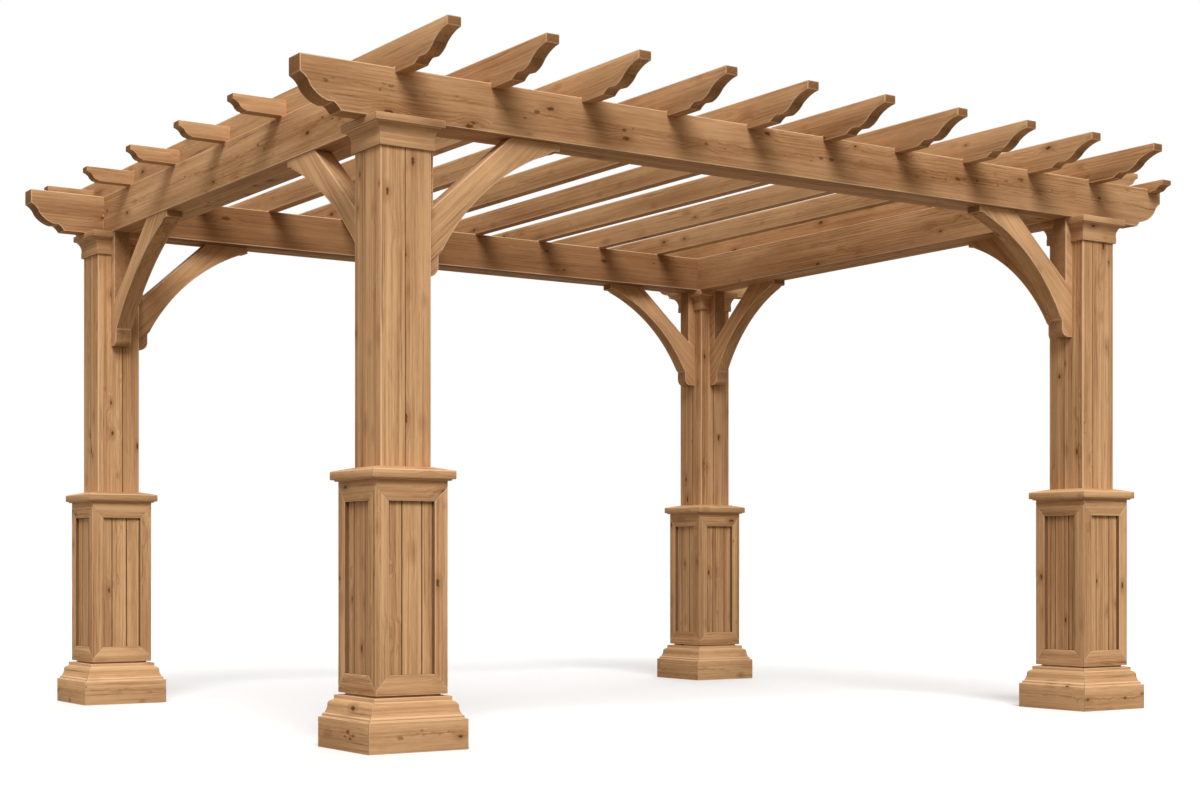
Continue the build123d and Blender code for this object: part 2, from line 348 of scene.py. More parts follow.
def heart_group(name):
    """Wavering line of small cracks and pin knots along the heart of a timber."""
    g = Group(name, {"Grain": "Vector", "Heart": 1.0}, floats("Line", "Pins", "Band"))
    grain = g.put["Grain"]

    def waver(start, share, *noise):
        return g.add(start, g.maths("SUBTRACT", g.noise(grain, *noise), 0.5), share)

    drift = waver(g.put["Heart"], 0.055, (2.3, 1.5, 1.5), 1.0, 0.4)
    drift = waver(drift, 0.022, (17.0, 3.0, 3.0), 2.0, 0.5)
    off = g.maths("ABSOLUTE", drift)
    edge = waver(off, 0.020, (34.0, 120.0, 120.0), 2.0, 0.6)
    where = g.smooth(g.noise(grain, (4.2, 2.0, 2.0), 2.0, 0.6), 0.40, 0.58, 0.30, 1.0)
    g.give("Line", g.times(g.smooth(edge, 0.0012, 0.0060, 1.0, 0.0), where))
    distance, own = g.cells(grain, (22.0, 40.0, 40.0), 1)
    spot = g.maths("SUBTRACT", g.remap(own, 0.30, 1.0, 0.0, 0.36), distance)
    pins = g.times(g.smooth(spot, -0.04, 0.06), g.smooth(off, 0.012, 0.028, 1.0, 0.0))
    g.give("Pins", g.times(pins, where))
    g.give("Band", g.smooth(off, 0.0, 0.050, 1.0, 0.0))
    return g.tree


def grain_group(name):
    """Fine growth lines, streaks, fibres and broad tone along the local X of each board."""
    g = Group(name, {"Grain": "Vector", "Swirl": 0.0, "Wave": 4.0, "Lines": 80.0},
              floats("Ring", "Fibre", "Band", "Streak", "Tone", "Check"))
    grain = g.put["Grain"]
    parts = g.node("ShaderNodeSeparateXYZ", {0: grain}).outputs
    phase = g.times(g.noise(grain, (0.9, 8.0, 8.0), 2.0, 0.45), g.put["Wave"])
    phase = g.add(phase, g.add(parts[2], parts[1], 0.83), g.put["Lines"])
    phase = g.add(phase, g.put["Swirl"], 1.6)
    phase = g.add(phase, g.noise(grain, (4.0, 50.0, 50.0), 2.0, 0.6), 1.1)
    saw = g.maths("FRACT", phase)
    ring = g.times(g.smooth(saw, 0.45, 0.9), g.smooth(saw, 0.9, 1.0, 1.0, 0.0))
    shown = g.smooth(g.noise(grain, (1.1, 9.0, 9.0), 2.0, 0.5), 0.42, 0.62, 0.12, 1.0)
    g.give("Ring", g.times(ring, shown))
    g.give("Fibre", g.remap(g.noise(grain, (16.0, 170.0, 170.0), 3.0, 0.65), 0.3, 0.7))
    g.give("Band", g.remap(g.noise(grain, (0.6, 34.0, 34.0), 3.0, 0.6), 0.36, 0.66))
    g.give("Streak", g.remap(g.noise(grain, (1.5, 95.0, 95.0), 4.0, 0.62, 0.2), 0.37, 0.66))
    tone = g.remap(g.noise(grain, (1.5, 6.0, 6.0), 2.0, 0.5), 0.3, 0.7)
    board = g.remap(g.noise(grain, (0.05, 0.05, 0.05), 0.0, 0.0), 0.3, 0.7)
    g.give("Tone", g.add(g.times(tone, 0.65), board, 0.35))
    line = g.smooth(g.noise(grain, (2.2, 120.0, 120.0), 1.0, 0.5), 0.655, 0.70)
    where = g.smooth(g.noise(grain, (1.7, 9.0, 9.0), 1.0, 0.5), 0.50, 0.62)
    g.give("Check", g.times(line, where))
    return g.tree


GROWN = ("Ring", "Fibre", "Band", "Streak", "Tone", "Check")
SHARES = ("Ring share", "Band share", "Tone share", "Streak share")
PAINTS = ("Light", "Dark", "Deep", "Knot", "End", "Worn", "Shade")


def wood_colour_group(name):
    """Mixes the masks into one wood colour, with sawn ends, a painted highlight on rounded edges,
    painted shade on shaded boards and reveals, and dark seams.
    """
    masks = GROWN + ("Core", "Halo", "Heart line", "Pins", "Heart band")
    g = Group(
        name,
        {**dict.fromkeys(masks, 0.0), **dict.fromkeys(SHARES, 0.3), **dict.fromkeys(PAINTS, WHITE)},
        {"Colour": "Color", **floats("Height", "Roughness")},
    )
    put = g.put
    ends, edges, depth = g.attribute("end"), g.attribute("edge"), g.attribute("depth")
    mixed = g.times(put["Ring"], put["Ring share"])
    for mask in ("Band", "Tone", "Streak"):
        mixed = g.add(mixed, put[mask], put[mask + " share"])
    mixed = g.add(mixed, put["Fibre"], 0.22)
    mixed = g.add(mixed, put["Heart band"], 0.10)
    mixed = g.maths("SUBTRACT", mixed, 0.36, clamp=True)
    base = g.blend(mixed, put["Light"], put["Dark"])
    # Painted shade: the depth attribute darkens a board towards the shaded board tint, as if it lay
    # in shadow.
    base = g.blend(depth, base, g.vector("MULTIPLY", base, put["Deep"]))
    base = g.blend(g.times(put["Halo"], 0.45), base, put["Dark"])
    sawn = g.blend(g.times(put["Ring"], 0.4), put["End"], put["Knot"])
    base = g.blend(g.remap(ends, 0.30, 0.85, 0.0, 0.85), base, sawn)
    # Painted highlight: rounded edges are lightened, less on sawn ends and along streaks.
    worn = g.times(g.remap(edges, 0.0, 1.0, 0.0, 0.9), g.remap(ends, 0.1, 0.7, 1.0, 0.35))
    highlighted = g.times(worn, g.remap(put["Streak"], 0.0, 1.0, 1.0, 0.65))
    base = g.blend(highlighted, base, put["Worn"])
    for mask, share, paint in (("Core", 0.9, "Knot"), ("Check", 0.45, "Knot"),
                               ("Heart line", 0.55, "Dark"), ("Pins", 0.72, "Knot")):
        base = g.blend(g.times(put[mask], share), base, put[paint])
    # Negative edge values darken towards the seam colour: dark seams, and painted shade on the
    # pedestal reveals.
    g.give("Colour", g.blend(g.remap(edges, 0.0, -1.0, 0.0, 0.9), base, put["Shade"]))
    height = g.times(put["Fibre"], 0.35)
    for mask, share in (("Ring", -0.25), ("Check", -1.4), ("Pins", -1.2), ("Core", -0.4)):
        height = g.add(height, put[mask], share)
    g.give("Height", height)
    rough = g.remap(put["Streak"], 0.0, 1.0, 0.62, 0.76)
    g.give("Roughness", g.add(rough, put["Core"], -0.12))
    return g.tree


# ------------------------------------------------------------------- materials

# For each slot: the name of the material, the wave and the number of growth lines
# a metre, the shares in SHARES, and how far apart its knots are along and across
# the grain, with their size.
TIMBERS = {
    "column_boards": ("Column boards", (2.5, 62.0),
                      (0.28, 0.50, 0.38, 0.34), (0.17, 0.075, 0.14)),
    "moulded_timber": ("Moulded timber", (4.0, 75.0),
                       (0.24, 0.18, 0.44, 0.26), (0.16, 0.09, 0.12)),
    "beam_timber": ("Beam timber", (4.5, 66.0),
                    (0.26, 0.20, 0.72, 0.26), (0.19, 0.085, 0.15)),
    "brace_timber": ("Brace timber", (2.5, 80.0),
                     (0.34, 0.34, 0.32, 0.34), (0.24, 0.12, 0.07)),
    "rafter_timber": ("Rafter timber", (3.5, 60.0),
                      (0.26, 0.24, 0.62, 0.24), (0.21, 0.09, 0.14)),
}


def blank_material(name):
    """Empty material, its graph and the inputs of its shader."""
    made = bpy.data.materials.new(name)
    made.use_nodes = True
    return made, Graph(made.node_tree), made.node_tree.nodes["Principled BSDF"].inputs


def timber_material(slot):
    """Wood whose grain follows each board."""
    name, (wave, lines), shares, (along, across, wide) = TIMBERS[slot]
    found = bpy.data.materials.get(name)
    if found:
        return found
    made, g, shader = blank_material(name)
    grain = g.attribute("grain", "Vector")
    knots = g.group("Wood knots", knots_group, {
        "Grain": grain, "Along": along, "Across": across, "Size": wide,
    })
    heart = g.group("Heart line", heart_group, {"Grain": grain, "Heart": g.attribute("heart")})
    grown = g.group("Wood grain", grain_group, {
        "Grain": grain, "Swirl": knots["Swirl"], "Wave": wave, "Lines": lines,
    })
    paint = bpy.context.scene.pergola_colours
    finish = g.group("Wood colour", wood_colour_group, {
        "Core": knots["Core"], "Halo": knots["Halo"], "Pins": heart["Pins"],
        "Heart line": heart["Line"], "Heart band": heart["Band"],
        **{label: grown[label] for label in GROWN},
        **dict(zip(SHARES, shares)),
        **{label: opaque(getattr(paint, label.lower())) for label in PAINTS},
    })
    bump = g.first("ShaderNodeBump", {
        "Strength": 0.3, "Distance": 0.0012, "Height": finish["Height"],
    })
    g.join(finish["Colour"], shader["Base Color"])
    g.join(finish["Roughness"], shader["Roughness"])
    g.join(bump, shader["Normal"])
    g.join(0.02, shader["Specular IOR Level"])
    return made


def screw_material():
    found = bpy.data.materials.get("Screw steel")
    if found:
        return found
    made, g, shader = blank_material("Screw steel")
    place = g.node("ShaderNodeTexCoord").outputs["Object"]
    spots = g.first("ShaderNodeTexNoise", {"Vector": place, "Scale": 900.0, "Detail": 2.0})
    dark = bpy.context.scene.pergola_colours.screw
    rust = [part * 1.7 for part in dark]
    g.join(g.blend(spots, opaque(dark), opaque(rust)), shader["Base Color"])
    g.join(g.remap(spots, 0.3, 0.7, 0.4, 0.7), shader["Roughness"])
    g.join(0.3, shader["Metallic"])
    return made


# ----------------------------------------------------------------- board maker

def quarter(turns):
    return Matrix.Rotation(math.radians(90) * turns, 4, "Z")


def moved(x, y, z, turns=0.0):
    return Matrix.Translation((x, y, z)) @ quarter(turns)


def raised(ring, height):
    return [Vector((point.x, point.y, height)) for point in ring]


def linked(name, data):
    """A new object in the scene."""
    made = bpy.data.objects.new(name, data)
    bpy.context.scene.collection.objects.link(made)
    return made


# How far a board, and a copy of a board, may be cut from the middle of the wood.
SPREAD, COPY_SPREAD = 20.0, 15.0


class Timber:
    """Collects boards into one mesh and stores the grain of each board."""

    def __init__(self, seed):
        self.draw = random.Random(seed)
        self.points = []
        self.faces = []
        self.grain = []
        self.shades = {"end": [], "edge": [], "heart": [], "depth": []}

    def board(self, first, second, along, arris, place=None, sharp=30.0,
              keep=None, region=None, heart=None, depth=0.0):
        """Closed solid between two rings of points, with its grain along a direction.

        keep says which edges are rounded, and region which board and shade a
        face belongs to, the shade being a dark seam or painted shade. heart is the
        height of the heart line, if it shows, and depth paints shade into a board,
        darkening it as if it lay in shadow.
        """
        mesh = bmesh.new()
        low = [mesh.verts.new(point) for point in first]
        high = [mesh.verts.new(point) for point in second]
        mesh.faces.new(low)
        mesh.faces.new(list(reversed(high)))
        count = len(low)
        for index in range(count):
            after = (index + 1) % count
            mesh.faces.new((low[after], low[index], high[index], high[after]))
        bmesh.ops.recalc_face_normals(mesh, faces=mesh.faces)
        limit = math.radians(sharp)
        edges = [e for e in mesh.edges if e.calc_face_angle(0.0) > limit]
        if keep:
            edges = [e for e in edges if keep(*(v.co for v in e.verts))]
        rounded = set()
        if arris and edges:
            made = bmesh.ops.bevel(
                mesh, geom=edges, offset=arris, segments=2, profile=0.6,
                affect="EDGES", clamp_overlap=True,
            )
            rounded = set(made["faces"])
        self.collect(mesh, rounded, Vector(along).normalized(), place, region, heart, depth)
        mesh.free()

    def collect(self, mesh, rounded, along, place, region, heart, depth):
        """Adds the faces of a board, with the grain along it and a random place in the wood."""
        side = along.cross(Vector((0, 0, 1)))
        if side.length < 0.1:
            side = along.cross(Vector((0, 1, 0)))
        side.normalize()
        basis = Matrix((along, side, along.cross(side)))
        offsets = {}
        mesh.verts.ensure_lookup_table()
        mesh.verts.index_update()
        start = len(self.points)
        place = place or Matrix.Identity(4)
        self.points.extend(place @ vert.co for vert in mesh.verts)
        for face in mesh.faces:
            # The edge value is 1 on rounded faces, for the painted highlight on the arrises; a
            # region's dark amount makes it negative, for dark seams and painted shade.
            board, shade = 0, 1.0 if face in rounded else 0.0
            if region:
                board, dark = region(face.calc_center_median(), face.normal)
                shade = -dark if dark else shade
            if board not in offsets:
                offsets[board] = Vector([self.draw.uniform(-SPREAD, SPREAD) for _ in range(3)])
            self.faces.append([start + vert.index for vert in face.verts])
            for vert in face.verts:
                self.grain.append(basis @ vert.co + offsets[board])
                self.shades["end"].append(abs(face.normal.dot(along)))
                self.shades["edge"].append(shade)
                self.shades["heart"].append(1.0 if heart is None else vert.co.z - heart)
                self.shades["depth"].append(depth)

    def piece(self, name, slot):
        """Makes the mesh and its object, in the timber of a slot."""
        data = bpy.data.meshes.new(name)
        data.from_pydata(self.points, [], self.faces)
        grain = data.attributes.new("grain", "FLOAT_VECTOR", "CORNER")
        grain.data.foreach_set("vector", [part for point in self.grain for part in point])
        for label, values in self.shades.items():
            layer = data.attributes.new(label, "FLOAT", "CORNER")
            layer.data.foreach_set("value", values)
        data.materials.append(timber_material(slot))
        data.shade_smooth()
        data.set_sharp_from_angle(angle=math.radians(32))
        return linked(name, data)


def settle(piece, slot, *nodes):
    """Hands a finished piece to the frame."""
    if nodes:
        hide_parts(*nodes)
    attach(piece, "root")


def single(timber, name, slot, *nodes):
    """Makes one piece of the timber, where it was built."""
    settle(timber.piece(name, slot), slot, *nodes)


# -------------------------------------------------------------- geometry nodes

def repeat_group(name, inputs):
    """Start of a tree that repeats the incoming boards on points."""
    inputs = {"Boards": "Geometry", **inputs, "Seed": 1, "Timber": "Material"}
    g = Group(name, inputs, {"Boards": "Geometry"}, "GeometryNodeTree")
    g.tree.is_modifier = True
    return g


def finish_repeat(g, points, **turned):
    """Puts real copies of the boards on the points, each with its own place in the wood."""
    def store(geometry, name, value, domain):
        links = {"Geometry": geometry, "Name": name, "Value": value}
        return g.first("GeometryNodeStoreNamedAttribute", links,
                       data_type="FLOAT_VECTOR", domain=domain)

    links = {"Points": points, "Instance": g.put["Boards"], **turned}
    copies = g.first("GeometryNodeInstanceOnPoints", links)
    links = {0: (-COPY_SPREAD,) * 3, 1: (COPY_SPREAD,) * 3, "Seed": g.put["Seed"]}
    spread = g.first("FunctionNodeRandomValue", links, data_type="FLOAT_VECTOR")
    shifted = store(copies, "shift", spread, "INSTANCE")
    real = g.first("GeometryNodeRealizeInstances", {"Geometry": shifted})
    total = g.vector("ADD", g.stored("grain"), g.stored("shift"))
    own = store(real, "grain", total, "CORNER")
    clean = g.first("GeometryNodeRemoveAttribute", {"Geometry": own, "Name": "shift"})
    links = {"Geometry": clean, "Material": g.put["Timber"]}
    g.give("Boards", g.first("GeometryNodeSetMaterial", links))
    return g.tree


def row_group(name):
    """Repeats the boards along a straight row."""
    g = repeat_group(name, {"Count": 8, "Step": "Vector"})
    links = {"Count": g.put["Count"], "Offset": g.put["Step"]}
    row = g.first("GeometryNodeMeshLine", links, mode="OFFSET", count_mode="TOTAL")
    return finish_repeat(g, row)


def corners_group(name):
    """Puts the boards on the corners, each a quarter turn on from the last.

    Corners are counted from the front left one, against the clock from above.
    With half turns, the boards turn round at the corners on the far side of the axis.
    """
    g = repeat_group(name, {
        "Centre": "Vector", "Span X": 1.0, "Span Y": 1.0, "First": 0, "Count": 4,
        "Half turns": False, "Axis": "Vector",
    })
    four = g.first("GeometryNodeMeshLine", {"Count": g.put["Count"]},
                   mode="OFFSET", count_mode="TOTAL")
    index = g.maths("ADD", g.first("GeometryNodeInputIndex"), g.put["First"])
    turn = g.times(index, math.radians(90))
    bearing = g.maths("SUBTRACT", turn, math.radians(135))
    half = math.sqrt(0.5)
    place_x = g.times(g.maths("COSINE", bearing), g.times(g.put["Span X"], half))
    place_y = g.times(g.maths("SINE", bearing), g.times(g.put["Span Y"], half))
    spot = g.first("ShaderNodeCombineXYZ", {0: place_x, 1: place_y})
    place = g.vector("ADD", spot, g.put["Centre"])
    points = g.first("GeometryNodeSetPosition", {"Geometry": four, "Position": place})
    side = g.node("ShaderNodeVectorMath", {0: spot, 1: g.put["Axis"]}, operation="DOT_PRODUCT")
    flip = g.times(g.maths("GREATER_THAN", side.outputs["Value"], 0.0), math.pi)
    chosen = g.first("GeometryNodeSwitch", {0: g.put["Half turns"], 1: turn, 2: flip},
                     input_type="FLOAT")
    return finish_repeat(g, points, Rotation=g.first("ShaderNodeCombineXYZ", {2: chosen}))


def heads_group(name):
    """Puts a screw head on every point, facing out."""
    g = Group(name, {"Points": "Geometry", "Diameter": 0.009, "Steel": "Material"},
              {"Heads": "Geometry"}, "GeometryNodeTree")
    g.tree.is_modifier = True
    radius, depth = g.times(g.put["Diameter"], 0.5), g.times(g.put["Diameter"], 0.35)
    head = g.first("GeometryNodeMeshCylinder", {"Vertices": 12, "Radius": radius, "Depth": depth})
    turn = g.first("FunctionNodeAlignRotationToVector", {"Vector": g.stored("facing")}, axis="Z")
    copies = g.first("GeometryNodeInstanceOnPoints", {
        "Points": g.put["Points"], "Instance": head, "Rotation": turn,
    })
    real = g.first("GeometryNodeRealizeInstances", {"Geometry": copies})
    links = {"Geometry": real, "Material": g.put["Steel"]}
    g.give("Heads", g.first("GeometryNodeSetMaterial", links))
    return g.tree


def apply_group(piece, name, make, values):
    """Runs a geometry tree on a piece and keeps the result as a plain mesh."""
    tree = bpy.data.node_groups.get(name) or make(name)
    modifier = piece.modifiers.new(name, "NODES")
    modifier.node_group = tree
    for item in tree.interface.items_tree:
        if item.in_out == "INPUT" and item.name in values:
            modifier[item.identifier] = values[item.name]
    bpy.context.view_layer.update()
    depsgraph = bpy.context.evaluated_depsgraph_get()
    result = bpy.data.meshes.new_from_object(
        piece.evaluated_get(depsgraph), preserve_all_data_layers=True, depsgraph=depsgraph,
    )
    piece.modifiers.remove(modifier)
    old = piece.data
    piece.data = result
    bpy.data.meshes.remove(old)
    result.name = piece.name


def to_corners(piece, material, seed, axis=None, first=0, count=4):
    """Repeats a piece at the columns, from the first corner on."""
    apply_group(piece, "Four corners", corners_group, {
        "Centre": (0.5 * (size.left + size.right), 0.5 * (size.front + size.back), 0.0),
        "Span X": size.right - size.left, "Span Y": size.back - size.front,
        "First": first, "Count": count, "Seed": seed, "Timber": material,
        "Half turns": axis is not None, "Axis": axis or (0.0, 0.0, 0.0),
    })


def on_four_corners(timber, name, slot, seed, stem):
    """Makes a piece of the timber at each of the four columns."""
    piece = timber.piece(name, slot)
    to_corners(piece, timber_material(slot), seed)
    settle(piece, slot, *[f"{stem}_{corner}" for corner in CORNERS])


def in_a_row(timber, name, count, step, seed, *nodes):
    """Makes a row of rafters or tails of the timber."""
    piece = timber.piece(name, "rafter_timber")
    apply_group(piece, "Board row", row_group, {
        "Count": count, "Step": step, "Seed": seed, "Timber": timber_material("rafter_timber"),
    })
    settle(piece, "rafter_timber", *nodes)


# -------------------------------------------------------------- column shapes

# How far the back of a moulding lies from the middle of its column.
MOULDING_BACK = 0.09
# Places of the seams on the front, right, back and left of a column.
SHAFT_SEAMS = ((-0.004,), (0.020,), (-0.012,), (-0.040,))
PANEL_SEAMS = ((-0.036, 0.051), (-0.048, 0.030), (-0.042, 0.046), (-0.050, 0.042))
# Place of the grooves between a panel and its frame: real grooves, painted dark like the seams,
# which also stand in for the contact shade along the edge of the opening.
PANEL_RIM = 0.0968


def arc_points(start, middle, end, steps=8):
    """Points on the circle through three points, without the first."""
    (ax, ay), (bx, by), (cx, cy) = start, middle, end
    double = 2 * (ax * (by - cy) + bx * (cy - ay) + cx * (ay - by))
    a2, b2, c2 = ax * ax + ay * ay, bx * bx + by * by, cx * cx + cy * cy
    ux = (a2 * (by - cy) + b2 * (cy - ay) + c2 * (ay - by)) / double
    uy = (a2 * (cx - bx) + b2 * (ax - cx) + c2 * (bx - ax)) / double
    radius = math.hypot(ax - ux, ay - uy)
    first = math.atan2(ay - uy, ax - ux)
    through = (math.atan2(by - uy, bx - ux) - first) % math.tau
    last = (math.atan2(cy - uy, cx - ux) - first) % math.tau
    if through > last:
        last -= math.tau
    turns = [first + last * step / steps for step in range(1, steps + 1)]
    return [(ux + radius * math.cos(turn), uy + radius * math.sin(turn)) for turn in turns]


def mitred_side(timber, profile, inner, turn, sizes, ends=(None, None), **looks):
    """One side of a square moulding. The profile is (distance out, height).

    The sides meet in mitres, apart from an end that is cut square at its own place.
    """
    gap = sizes.mitre_gap
    start, stop = ends
    ring = [(inner, profile[0][1])] + list(profile) + [(inner, profile[-1][1])]
    left = [Vector((gap - out if start is None else start, -out, z)) for out, z in ring]
    right = [Vector((out - gap if stop is None else stop, -out, z)) for out, z in ring]
    timber.board(left, right, (1, 0, 0), sizes.small_arris, quarter(turn), sharp=34.0, **looks)


def base_profile():
    half, block, top = size.base_half, 0.119, 0.207
    shoulder, cove, fillet = half - 0.043, half - 0.027, half - 0.011
    band, neck = 0.171, 0.138
    points = [(half, 0.0), (half, block), (fillet, block + 0.003), (fillet, block + 0.013),
              (fillet - 0.006, block + 0.015)]
    points += arc_points(points[-1], (cove + 0.0035, block + 0.029), (cove, block + 0.046))
    points += arc_points(points[-1], (cove - 0.004, block + 0.061), (shoulder, block + 0.068))
    points += [(band, block + 0.071), (band, top), (neck, top), (neck, size.pedestal_bottom)]
    return points


def cap_profile():
    bottom, half, lip, crown = size.pedestal_top, size.cap_half, 0.170, 0.116
    low, high = bottom + 0.006, bottom + 0.040
    return [(lip, bottom), (lip, low), (half - 0.002, low), (half, low + 0.003),
            (half, high - 0.004), (half - 0.001, high - 0.001), (half - 0.004, high + 0.0005),
            (crown, size.cap_top), (size.shaft_half, size.cap_top)]


def capital_profile():
    bottom, top = size.capital_bottom, size.beam_bottom
    neck, high = 0.121, 0.140
    foot, head = bottom + 0.026, top - 0.031
    points = [(neck, bottom), (neck, foot)]
    middle = (neck + 0.26 * (high - neck), foot + 0.67 * (head - foot))
    points += arc_points(points[-1], middle, (high, head), 10)
    points += [(high, head + 0.003), (size.capital_half, head + 0.003), (size.capital_half, top)]
    return points


def grooved_square(half, seams, width, depth):
    """Square outline with V seams. seams holds the places along each side."""
    ring = []
    for turn, places in enumerate(seams):
        side = [Vector((-half, -half, 0.0))]
        for place in places:
            side.append(Vector((place - width / 2, -half, 0.0)))
            side.append(Vector((place, -half + depth, 0.0)))
            side.append(Vector((place + width / 2, -half, 0.0)))
        ring.extend(quarter(turn) @ point for point in side)
    return ring


def seam_region(half, seams):
    """Says which board of a grooved square a face belongs to, and if it lies in a seam."""
    surface, facing, upright = 0.0045, 0.5, 0.9

    def find(middle, normal):
        best, turn = max((normal.dot(quarter(t) @ Vector((0, -1, 0))), t) for t in range(4))
        local = quarter(-turn) @ middle
        board = sum(1 for place in seams[turn] if local.x > place)
        flat = abs(local.y + half) < surface and best > facing
        if abs(normal.z) > upright:
            return 0, 0.0
        return 10 * turn + board, 0.0 if flat else 1.0
    return find


def grooved_column(timber, half, seams, width, depth, bottom, top, arris):
    """A boxed column, of which only the four corners are rounded."""
    ring = grooved_square(half, seams, width, depth)
    near, tall = 1e-4, 0.01

    def corner(a, b):
        outer = abs(abs(a.x) - half) < near and abs(abs(a.y) - half) < near
        return outer and abs(a.z - b.z) > tall

    timber.board(raised(ring, bottom), raised(ring, top), (0, 0, 1), arris,
                 keep=corner, region=seam_region(half, seams))


def framed_face(timber, turn, sizes):
    """Two rails and two stiles, mitred at 45 degrees round the panel."""
    half, deep = size.pedestal_half, size.pedestal_half - sizes.panel_depth
    foot, head = sizes.panel_bottom, sizes.panel_top
    inner, gap = sizes.panel_width / 2, sizes.mitre_gap
    stile = half - inner
    # Painted shade: the inner faces (reveals) of the opening take the dark seam colour at 0.8, as
    # if in shadow.
    slack, reveal_shade = 0.004, 0.8

    def reveal(middle, normal):
        inside = abs(middle.x) < inner + slack and foot - slack < middle.z < head + slack
        return 0, reveal_shade if inside and abs(normal.y) < 0.5 else 0.0

    def solid(outline, along):
        front, back = [
            [Vector((max(gap - out, min(out - gap, x)), -out, z)) for x, z in outline]
            for out in (half, deep)
        ]
        timber.board(front, back, along, sizes.small_arris, quarter(turn), region=reveal)

    for edge, way, end in ((head, 1, size.pedestal_top), (foot, -1, size.pedestal_bottom)):
        near, far = edge + way * gap, edge + way * stile + way * gap
        solid([(-inner, near), (-half, far), (-half, end), (half, end), (half, far),
               (inner, near)], (1, 0, 0))
    for sign in (-1, 1):
        solid([(sign * inner, foot + gap), (sign * half, foot - stile + gap),
               (sign * half, head + stile - gap), (sign * inner, head - gap)], (0, 0, 1))


# ---------------------------------------------------- shapes of the long timbers

# Length, height and height of the blunt tip, then the places of the bend, the
# belly and the quirk, as shares of the length and of the height below the tip.
BEAM_TAIL = (0.172, 0.198, 0.070, (0.25, 0.64), (0.70, 0.24), (0.82, 0.25))
RAFTER_TAIL = (0.253, 0.129, 0.037, (0.40, 0.60), (0.68, 0.19), (0.85, 0.23))
SIDE_TAIL = (0.062, 0.068, 0.025, (0.45, 0.60), (0.80, 0.12), (0.88, 0.12))
END_TAIL = (0.070, 0.053, 0.024, (0.45, 0.60), (0.80, 0.12), (0.88, 0.12))

# Bow of the lower edge, length on the beam and slope of the back.
SHORT_BRACE = (0.061, 0.235, 0.89)
LONG_BRACE = (0.048, 0.265, 0.80)
# How far the leg and the toe of a brace stand out from the shaft.
BRACE_LEG, BRACE_TOE = 0.048, 0.072
BRACE_GRAIN = (0.72, 0, 0.69)


def tail_outline(shape):
    """From the top of the tip down the shaped end to the straight bottom."""
    length, height, flat, *places = shape
    low = height - flat
    (bx, bz), (ex, ez), (qx, qz) = [(x * length, z * low) for x, z in places]
    points = [(0.0, height), (0.0, low)]
    points += arc_points(points[-1], (bx * 0.60, bz + (low - bz) * 0.60), (bx, bz))
    points += arc_points(points[-1], (bx + (ex - bx) * 0.40, ez + (bz - ez) * 0.40), (ex, ez))
    points.append((qx, qz))
    points += arc_points(points[-1], (qx + (length - qx) * 0.62, qz * 0.50), (length, 0.0), 6)
    return points


def member_outline(length, shape, both_ends=True, notches=()):
    """Outline in the XZ plane, bottom on Z = 0. Notches are (start, stop, depth) in the bottom."""
    start = tail_outline(shape)
    points = list(start)
    for x0, x1, depth in notches:
        points += [(x0, 0.0), (x0, depth), (x1, depth), (x1, 0.0)]
    if both_ends:
        return points + [(length - x, z) for x, z in reversed(start)]
    return points + [(length, 0.0), (length, shape[1])]


def member(timber, outline, thickness, arris, place, along=(1, 0, 0), **looks):
    """Adds a timber with its outline in the XZ plane, then moved to its place."""
    first, second = [
        [Vector((x, y, z)) for x, z in outline] for y in (-thickness / 2, thickness / 2)
    ]
    timber.board(first, second, along, arris, place, **looks)


def brace_outline(tip, shape):
    """Brace running towards +X from a column at the origin."""
    bow, back_length, back_slope = shape
    near, top, foot = size.shaft_half, size.beam_bottom, size.brace[0].z
    leg, toe = near + BRACE_LEG, near + BRACE_TOE
    round_size, quirk, nose = 0.040, 0.012, 0.024
    foot_top, tip_z = foot + 0.086, top - 0.032
    start = (toe + quirk, foot_top + quirk)
    end = (tip - 2 * nose, tip_z - quirk)
    run, rise = end[0] - start[0], end[1] - start[1]
    chord = math.hypot(run, rise)
    middle = ((start[0] + end[0]) / 2 - bow * rise / chord,
              (start[1] + end[1]) / 2 + bow * run / chord)
    back = tip - back_length
    back_foot = top - (back - leg) * back_slope
    points = [(near, foot), (toe - round_size, foot)]
    slack = 0.3 * round_size
    points += arc_points(points[-1], (toe - slack, foot + slack), (toe, foot + round_size), 6)
    points += [(toe, foot_top), start]
    points += arc_points(start, middle, end, 28)
    points += arc_points(end, (tip - 1.5 * nose, tip_z - 0.3 * quirk), (tip - nose, tip_z), 4)
    points += [(tip, tip_z), (tip, top), (back, top), (leg, back_foot), (leg, top), (near, top)]
    return points


# ------------------------------------------------------------------- operators

class PERGOLA_OT_bases(bpy.types.Operator):
    """Builds the four moulded column bases"""
    bl_idname = "pergola.bases"
    bl_label = "Column bases"

    def execute(self, context):
        timber, heart = Timber(11), 0.066
        for turn in range(4):
            mitred_side(timber, base_profile(), MOULDING_BACK, turn,
                        context.scene.pergola_sizes, heart=heart)
        on_four_corners(timber, "column_bases", "moulded_timber", 101, "column_base")
        return {"FINISHED"}


class PERGOLA_OT_pedestals(bpy.types.Operator):
    """Builds the four panelled pedestals"""
    bl_idname = "pergola.pedestals"
    bl_label = "Pedestals"

    def execute(self, context):
        sizes = context.scene.pergola_sizes
        timber = Timber(23)
        seams = [(-PANEL_RIM,) + places + (PANEL_RIM,) for places in PANEL_SEAMS]
        grooved_column(timber, size.pedestal_half - sizes.panel_depth, seams,
                       sizes.groove_width, sizes.groove_depth,
                       size.pedestal_bottom, size.pedestal_top, 0.0)
        for turn in range(4):
            framed_face(timber, turn, sizes)
        on_four_corners(timber, "column_pedestals", "column_boards", 102, "column_pedestal")
        return {"FINISHED"}


